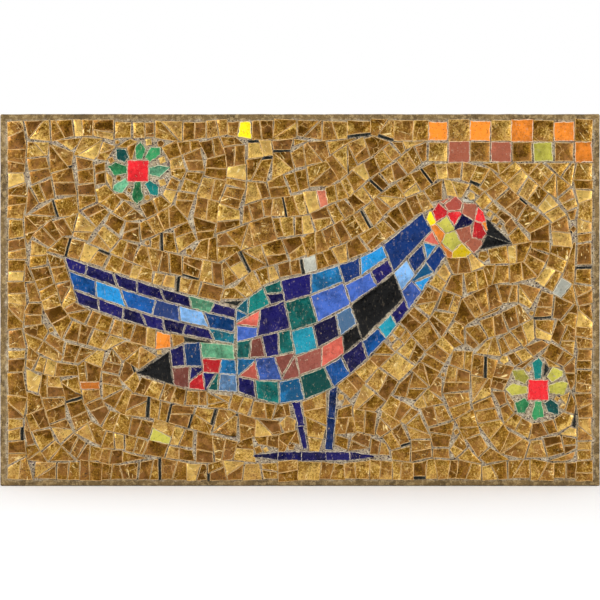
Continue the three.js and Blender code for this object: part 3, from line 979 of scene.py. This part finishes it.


# %% [markdown]
# ## Gold under glass
#
# A gold tessera is gold leaf fused under a film of clear glass, on a thick backing of dark glass. Hammering
# and firing leave the leaf mottled, with a fine grain, with folds, and with pinholes where the backing
# shows.
# Each fold is drawn as a bright line, a painted highlight. Painted highlights also go in as bright patches
# and thin glints on some tiles, where the leaf would mirror the lights. All trays share three colours of
# leaf, deep, plain and light. Each tray has its own tone on the way from the first to the last, and the
# pattern moves to and fro around it.

# %% Gold leaf
# Tray tones: partly the sheets' own tone, partly painted light for tiles that would mirror more or less of
# the lights.
TRAY_TONE_AND_PAINTED_LIGHT = {"deep_gold": 0.10, "old_gold": 0.30, "warm_gold": 0.44, "bright_gold": 0.65, "pale_gold": 1.0}
DEEP_LEAF, LEAF, LIGHT_LEAF = (0.115, 0.045, 0.001), (0.34, 0.162, 0.012), (0.84, 0.55, 0.14)
# Painted highlight colour along the folds in the leaf.
FOLD_HIGHLIGHT_COLOUR = (0.72, 0.46, 0.17)
BLUSH_COLOUR = (0.38, 0.165, 0.048)
# Painted glint colour: thin bright highlights on some tiles.
PAINTED_GLINT_COLOUR = (0.98, 0.76, 0.34)
BACKING_COLOUR = (0.015, 0.011, 0.005)


def gold_leaf(name, tone):
    finish = new_finish(name)
    place = finish.own_place()
    broad = finish.noise(place, 16, detail=1)
    hammered = finish.noise(place, 4.5, detail=3, roughness=0.6, distortion=0.7)
    grain = finish.noise(place, 1.6, detail=2, roughness=0.8)
    # Painted highlight: bright patches on a few tiles, where the leaf would mirror the lights.
    painted_sheen = finish.noise(place, 15, detail=1).above(0.54, 0.60) * finish.own("Blue").above(0.70, 0.72)
    tone = tone + broad.spread(1.0) + hammered.spread(0.9) + grain.spread(2.1)
    tone = tone + finish.own("Red").spread(0.4) + painted_sheen * 0.4
    colour = finish.mix(tone * 2, DEEP_LEAF, LEAF)
    colour = finish.mix(tone * 2 - 1, colour, LIGHT_LEAF)
    blush = finish.noise(place, 9, detail=3, roughness=0.6).above(0.44, 0.64) * 0.45
    blush = blush + finish.own("Green").above(0.62, 0.72) * 0.25
    colour = finish.mix(blush, colour, BLUSH_COLOUR)
    wobble = finish.node("ShaderNodeTexNoise", None, {"Vector": place, "Scale": 160}, output="Color")
    bent = finish.vector("MULTIPLY_ADD", wobble, (0.006, 0.006, 0.006), place)
    crease = finish.cells(bent, 11, "DISTANCE_TO_EDGE")
    # The folds are in the leaf, and the bright line along them is a painted highlight.
    fold_and_highlight = (1 - crease.above(0.012, 0.035)) * finish.noise(place, 14, detail=0).above(0.56, 0.62)
    colour = finish.mix(fold_and_highlight * 0.6, colour, FOLD_HIGHLIGHT_COLOUR)
    # Painted glints: thin bright streaks on some tiles, turned at random on each.
    turning = {"Vector": place, "Angle": finish.own("Blue") * math.tau}
    drawn = finish.node("ShaderNodeVectorRotate", {"rotation_type": "Y_AXIS"}, turning)
    drawn = finish.vector("MULTIPLY", drawn, (0.16, 1, 1))
    painted_glint = finish.noise(drawn, 1.9, detail=1, distortion=0.8).above(0.64, 0.70)
    painted_glint = painted_glint * hammered.above(0.44, 0.52) * finish.own("Red").above(0.4, 0.5)
    colour = finish.mix(painted_glint, colour, PAINTED_GLINT_COLOUR)
    flaked = finish.noise(place, 1.3, detail=1).above(0.64, 0.70) * finish.own("Green").above(0.82, 0.86)
    colour = finish.mix(flaked, colour, BACKING_COLOUR)
    height = broad * 0.5 + hammered * 0.35 + grain * 0.1 + fold_and_highlight * 0.1
    return finish.close(
        Base_Color=colour,
        Metallic=(1 - flaked) * 0.8,
        Roughness=(hammered.spread(0.5) + grain.spread(0.4) + 0.38).clamped(),
        Specular_IOR_Level=0.3,
        Coat_Weight=0.1,
        Coat_Roughness=0.12,
        Normal=finish.bump(height, 0.9),
    )


# %% [markdown]
# ## Nipped edges
#
# Where a tessera breaks, its edge is a narrow chipped bevel. On gold it is glassy and painted a bright tan,
# a painted highlight for the light that goes in under the leaf. The sides below it are the dark backing. On
# opaque glass the bevel is crushed to cream, and the colour of the body shows through it.

# %% Edges
# Painted highlight: the bright tan of the gold rims stands for light that goes in under the leaf.
GOLD_RIM_HIGHLIGHT = (0.82, 0.51, 0.19)
GOLD_SIDE = (0.10, 0.075, 0.035)


def nipped_edge(name, colour, shadow, level=0.62):
    """A glassy broken edge that goes between two colours. A high level gives more of the first."""
    finish = new_finish(name)
    place = finish.own_place()
    chips = finish.noise(place, 2.5, detail=2)
    grain = finish.noise(place, 0.8, detail=1)
    tone = chips.spread(2.8) + grain.spread(1.4) + level
    return finish.close(
        Base_Color=finish.mix(tone, shadow, colour),
        Roughness=(chips.spread(0.6) + 0.38).clamped(),
        Normal=finish.bump(chips * 0.7 + grain * 0.3, 0.35),
    )


# %% [markdown]
# ## Opaque coloured glass
#
# Smalti are slabs of opaque glass, coloured through, poured and chopped. The colour drifts a little within
# each piece and from piece to piece, fine streaks show which way the slab was poured, and the chopped face
# has scratches and chips that hold dust, and pits that are darkened as painted shade.

# %% Smalti
# The colour of each glass, as deep as it is in the slab.
GLASS_COLOUR = {
    "azure_glass": (0.010, 0.22, 0.52), "black_glass": (0.003, 0.003, 0.003),
    "cobalt_glass": (0.001, 0.08, 0.31), "coral_glass": (0.64, 0.12, 0.08),
    "dark_glass": (0.005, 0.007, 0.004), "green_glass": (0.03, 0.24, 0.08),
    "lime_glass": (0.46, 0.42, 0.06), "navy_glass": (0.006, 0.004, 0.09),
    "orange_glass": (0.76, 0.22, 0.02), "periwinkle_glass": (0.045, 0.11, 0.42),
    "red_glass": (0.66, 0.016, 0.022), "royal_glass": (0.001, 0.022, 0.12),
    "rust_glass": (0.24, 0.065, 0.045), "salmon_glass": (0.56, 0.16, 0.085),
    "seafoam_glass": (0.15, 0.46, 0.25), "sky_glass": (0.19, 0.40, 0.72),
    "teal_glass": (0.001, 0.155, 0.135), "turquoise_glass": (0.007, 0.24, 0.33),
    "white_glass": (0.55, 0.55, 0.46), "yellow_glass": (0.95, 0.66, 0.006),
}  # fmt: skip
DUST = (0.46, 0.36, 0.25)
COOL_SHADE, WARM_SHADE = 0.34, 0.6  # how dark a glass drifts, as a share of its colour


def opaque_glass(name, base, dust):
    """A glass coloured through. dust is how full of it the chips in the face are."""
    finish = new_finish(name)
    place = finish.own_place()
    drift = finish.noise(place, 14, detail=2)
    cloud = finish.noise(place, 4, detail=3, roughness=0.6)
    grain = finish.noise(place, 0.9, detail=1)
    shade = COOL_SHADE if base[2] > base[0] else WARM_SHADE
    dark = tuple(shade * channel for channel in base)
    light = tuple(1.25 * channel + 0.003 for channel in base)
    tone = drift.spread(1.8) + cloud.spread(1.2) + grain.spread(0.5)
    tone = tone + finish.own("Red").spread(1.2) + 0.42
    colour = finish.mix(tone, dark, light)
    stretched = finish.vector("MULTIPLY", place, (1, 0.25, 0.22))
    scratch = finish.noise(stretched, 0.9, detail=1).above(0.62, 0.70) * cloud.above(0.45, 0.55)
    pits_and_painted_shade = finish.noise(place, 1.6, detail=2).above(0.62, 0.68)
    chipped = finish.noise(place, 3.4, detail=3, roughness=0.7).above(0.66, 0.69)
    colour = finish.mix(scratch * dust * 0.5, colour, DUST)
    # Painted shade: the pits are darkened towards a deep shade of the body's own colour.
    colour = finish.mix(pits_and_painted_shade * 0.55, colour, tuple(0.25 * channel for channel in base))
    colour = finish.mix(chipped * dust, colour, DUST)
    height = cloud * 0.5 + grain * 0.08 - pits_and_painted_shade * 0.35 - chipped * 0.3
    return finish.close(
        Base_Color=colour,
        Roughness=(cloud.spread(0.4) + scratch * 0.2 + pits_and_painted_shade * 0.3 + chipped * 0.5 + 0.3).clamped(),
        Specular_IOR_Level=0.22,
        Normal=finish.bump(height, 0.5),
    )


# %% [markdown]
# ## Mortar and cement
#
# The mortar is sand and cement with light, dark and mauve grains. The slab is smoother and olive brown, and
# the two run into each other along the border, where the mortar was wiped over the margin. Both finishes
# share that border.

# %% Mortar and cement
SAND, PALE_SAND, MAUVE_SAND = (0.40, 0.315, 0.20), (0.60, 0.50, 0.34), (0.25, 0.20, 0.15)
BLACK_GRAIN, MAUVE_GRAIN, WHITE_GRAIN = (0.03, 0.022, 0.018), (0.16, 0.10, 0.12), (0.66, 0.57, 0.42)
CEMENT, DARK_CEMENT, PALE_CEMENT = (0.25, 0.16, 0.060), (0.085, 0.055, 0.022), (0.42, 0.30, 0.14)
BARE_CEMENT = (0.29, 0.24, 0.18)
GRAIN_SIZE = 1.0
FRONT_LOW, FRONT_HIGH = 19 * MM, 24 * MM
WIPED_LOW, WIPED_HIGH = 4 * MM, 9 * MM
WIPED_WANDER = 9


def sandy(finish):
    """The colour and the height of sand in mortar."""
    place = finish.object_place
    patch = finish.noise(place, 22, detail=3)
    soft = finish.noise(place, 3.2, detail=3)
    kind = finish.channel(finish.cells(place, GRAIN_SIZE, output="Color"), "Red")
    mauve = kind.above(0.16, 0.17) * (1 - kind.above(0.26, 0.27)) * 0.8
    colour = finish.mix(patch.above(0.52, 0.66), SAND, PALE_SAND)
    colour = finish.mix(soft.above(0.5, 0.7) * 0.7, colour, MAUVE_SAND)
    colour = finish.mix(1 - kind.above(0.10, 0.12), colour, BLACK_GRAIN)
    colour = finish.mix(mauve, colour, MAUVE_GRAIN)
    colour = finish.mix(kind.above(0.86, 0.88), colour, WHITE_GRAIN)
    return colour, soft * 0.6 + (1 - finish.cells(place, GRAIN_SIZE)) * 0.4


def trowelled(finish):
    """The colour and the height of smooth cement."""
    place = finish.object_place
    stain = finish.noise(place, 26, detail=4)
    mottle = finish.noise(place, 4, detail=4, roughness=0.65)
    grain = finish.noise(place, 1.4, detail=2, roughness=0.7)
    colour = finish.mix(stain.spread(2.4) + grain.spread(2.4) + 0.55, DARK_CEMENT, CEMENT)
    colour = finish.mix(mottle.above(0.48, 0.62) * 0.7, colour, PALE_CEMENT)
    colour = finish.mix(grain.above(0.60, 0.66) * 0.7, colour, BLACK_GRAIN)
    return colour, mottle * 0.8 + grain * 0.2


def wiped_border(finish):
    """Where the mortar lies, and where the front is.

    The first is 0 on the slab's margin, 1 on the mortar, and ragged between. The second is 1 at the
    front and 0 on the other sides."""
    place = (finish.object_place,)
    across, back, up = (finish.node("ShaderNodeSeparateXYZ", None, place, output=axis) for axis in "XYZ")
    front = (0 - back).above(FRONT_LOW, FRONT_HIGH)
    from_side = WIDTH / 2 - across.math("ABSOLUTE", across)
    from_top = HEIGHT / 2 - up.math("ABSOLUTE", up)
    inward = from_side.math("MINIMUM", from_side, from_top)
    wander = finish.noise(finish.object_place, WIPED_WANDER, detail=3).spread(WIPED_WANDER * MM)
    return (inward + wander).above(WIPED_LOW, WIPED_HIGH) * front, front


def ground(name):
    finish = new_finish(name)
    sand, sand_height = sandy(finish)
    smooth, smooth_height = trowelled(finish)
    border, front = wiped_border(finish)
    smooth = finish.mix((1 - front) * 0.6, smooth, BARE_CEMENT)
    return finish.close(
        Base_Color=finish.mix(border, smooth, sand),
        Roughness=0.92 - sand_height * 0.15,
        Specular_IOR_Level=0.2,
        Normal=finish.bump(sand_height * border + smooth_height * (1 - border), 0.7),
    )


# %% [markdown]
# ## Dressing the pieces
#
# A tray has three material slots: the face of its tesserae, the nipped rim and the side. All gold trays
# share one rim and one side, as they share their backing glass. Nearly black glass keeps little dust and
# breaks dark, so its chips and its rim are toned down.

# %% Dress the pieces
CREAM_EDGE = (0.78, 0.67, 0.47)
NEARLY_BLACK = 0.02


def smalti_finishes(glass):
    """Face, rim and side of an opaque glass."""
    base = GLASS_COLOUR[glass]
    dark = max(base) < NEARLY_BLACK
    return [
        opaque_glass(glass, base, dust=0.25 if dark else 0.85),
        nipped_edge(glass + "_rim", CREAM_EDGE, base, level=0.1 if dark else 0.62),
        nipped_edge(glass + "_side", base, tuple(0.4 * channel for channel in base)),
    ]


mortar_finish = ground("sandy_mortar")
cement_finish = ground("trowelled_cement")
# The gold rim is painted bright, as a highlight.
gold_rim_highlight = nipped_edge("gold_glass_rim", GOLD_RIM_HIGHLIGHT, tuple(0.45 * channel for channel in GOLD_RIM_HIGHLIGHT))
gold_side = nipped_edge("gold_glass_side", GOLD_SIDE, BACKING_COLOUR)
for glass, piece in trays.items():
    if glass in GOLD_TRAYS:
        finishes = [gold_leaf(glass, TRAY_TONE_AND_PAINTED_LIGHT[glass]), gold_rim_highlight, gold_side]
    else:
        finishes = smalti_finishes(glass)
    for number, finish in enumerate(finishes):
        piece.data.materials[number] = finish
for piece, finish in ((mortar, mortar_finish), (slab, cement_finish)):
    piece.data.materials.clear()
    piece.data.materials.append(finish)
print(len(trays), "trays dressed")

# %% [markdown]
# ## Tying the pieces to the frame
#
# The part has one body, and every piece rides on it. Each tray stands for the CAD nodes of its glass, the
# mortar for the bed and the slab for the slab. The small tesserae have no node of their own: they belong to
# the bed.

# %% Tie the pieces to the frame
NODE_GLASS = {node: frame["nodes"][node].data.materials[0].name for node in FIGURE_NODES}
for glass, piece in trays.items():
    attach(piece, "root")
    "gold_glass" if glass in GOLD_TRAYS else glass
    nodes = [node for node in FIGURE_NODES if NODE_GLASS[node] == glass]
    if nodes:
        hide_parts(*nodes)
for piece, node, slot in ((mortar, "gold_ground_bed", "grout"), (slab, "mortar_slab", "cement")):
    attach(piece, "root")
    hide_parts(node)

# %% [markdown]
# ## Floor
#
# The panel stands on its lower edge on a plain pale floor. The floor only serves the view and isn't part of
# it.

# %% Floor
FLOOR_SIZE = 16
FLOOR_GAP = 1e-4

bpy.ops.object.select_all(action="DESELECT")
bpy.ops.mesh.primitive_plane_add(size=FLOOR_SIZE, location=(0, 0, SLAB_LOW.z - FLOOR_GAP))
floor = bpy.context.object
floor.name = "floor"
paint = new_finish("pale_floor")
tone = paint.noise(paint.object_place, 300, detail=2)
floor.data.materials.append(
    paint.close(Base_Color=paint.mix(tone, (0.90, 0.90, 0.90), (0.94, 0.94, 0.94)), Roughness=0.9)
)
floor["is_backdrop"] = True

# %% [markdown]
# ## Camera
#
# A flat panel wants a straight look. A long lens from far away keeps its edges parallel, and the distance
# is worked out so that its front fills the width of the frame.

# %% Camera
LENS, SENSOR = 100, 36  # in millimetres
camera_data = bpy.data.cameras.new("camera")
camera_data.lens = LENS
camera_data.sensor_width = SENSOR
camera = bpy.data.objects.new("camera", camera_data)
bpy.context.scene.collection.objects.link(camera)
camera.location = (0, SLAB_LOW.y - WIDTH * LENS / SENSOR, 0)
camera.rotation_euler = (math.pi / 2, 0, 0)
bpy.context.scene.camera = camera

# %% [markdown]
# ## Lights
#
# Gold glitters only when its slopes find something bright to mirror. Two large soft panels stand at the
# left and the right, in front of the panel, and the room is dim at the horizon and bright at the ceiling.
# The camera itself sees the room as plain white.

# %% Lights
HORIZON_LIGHT, CEILING_LIGHT = 0.10, 1.5


def light_panel(name, place, size, power):
    """A soft square light aimed at the panel's middle. Lengths are in metres, power in watts."""
    lamp = bpy.data.lights.new(name, "AREA")
    lamp.shape = "SQUARE"
    lamp.size = size
    lamp.energy = power
    holder = bpy.data.objects.new(name, lamp)
    holder.location = place
    holder.rotation_euler = (-Vector(place)).to_track_quat("-Z", "Y").to_euler()
    bpy.context.scene.collection.objects.link(holder)


light_panel("key_light", place=(-2.0, -1.7, 1.2), size=1.0, power=40)
light_panel("fill_light", place=(2.1, -1.8, 0.5), size=1.2, power=26)

world = bpy.data.worlds.new("white_room")
bpy.context.scene.world = world
room = Finish(world)
direction = room.node("ShaderNodeTexCoord", output="Generated")
height = room.node("ShaderNodeSeparateXYZ", None, (direction,), output="Z")
brightness = height.above(0.4, 0.95) * (CEILING_LIGHT - HORIZON_LIGHT) + HORIZON_LIGHT
seen = room.node("ShaderNodeLightPath", output="Is Camera Ray")
sky = room.node("ShaderNodeBackground", None, ((1, 1, 1), seen + (1 - seen) * brightness))
room.tree.links.new(sky.socket, room.tree.nodes.new("ShaderNodeOutputWorld").inputs["Surface"])
bpy.context.scene.view_settings.view_transform = "Standard"

# %% [markdown]
# ## Sizes
#
# Chips, slopes and the uneven mortar reach a little past the CAD model. Both boxes are written down, so
# that they can be compared.

# %% Sizes
boxes = [[list(map(float, corner)) for corner in box] for box in (CAD_BOX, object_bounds())]
print("visual box, mm:", [[round(v / MM, 2) for v in corner] for corner in boxes[1]])
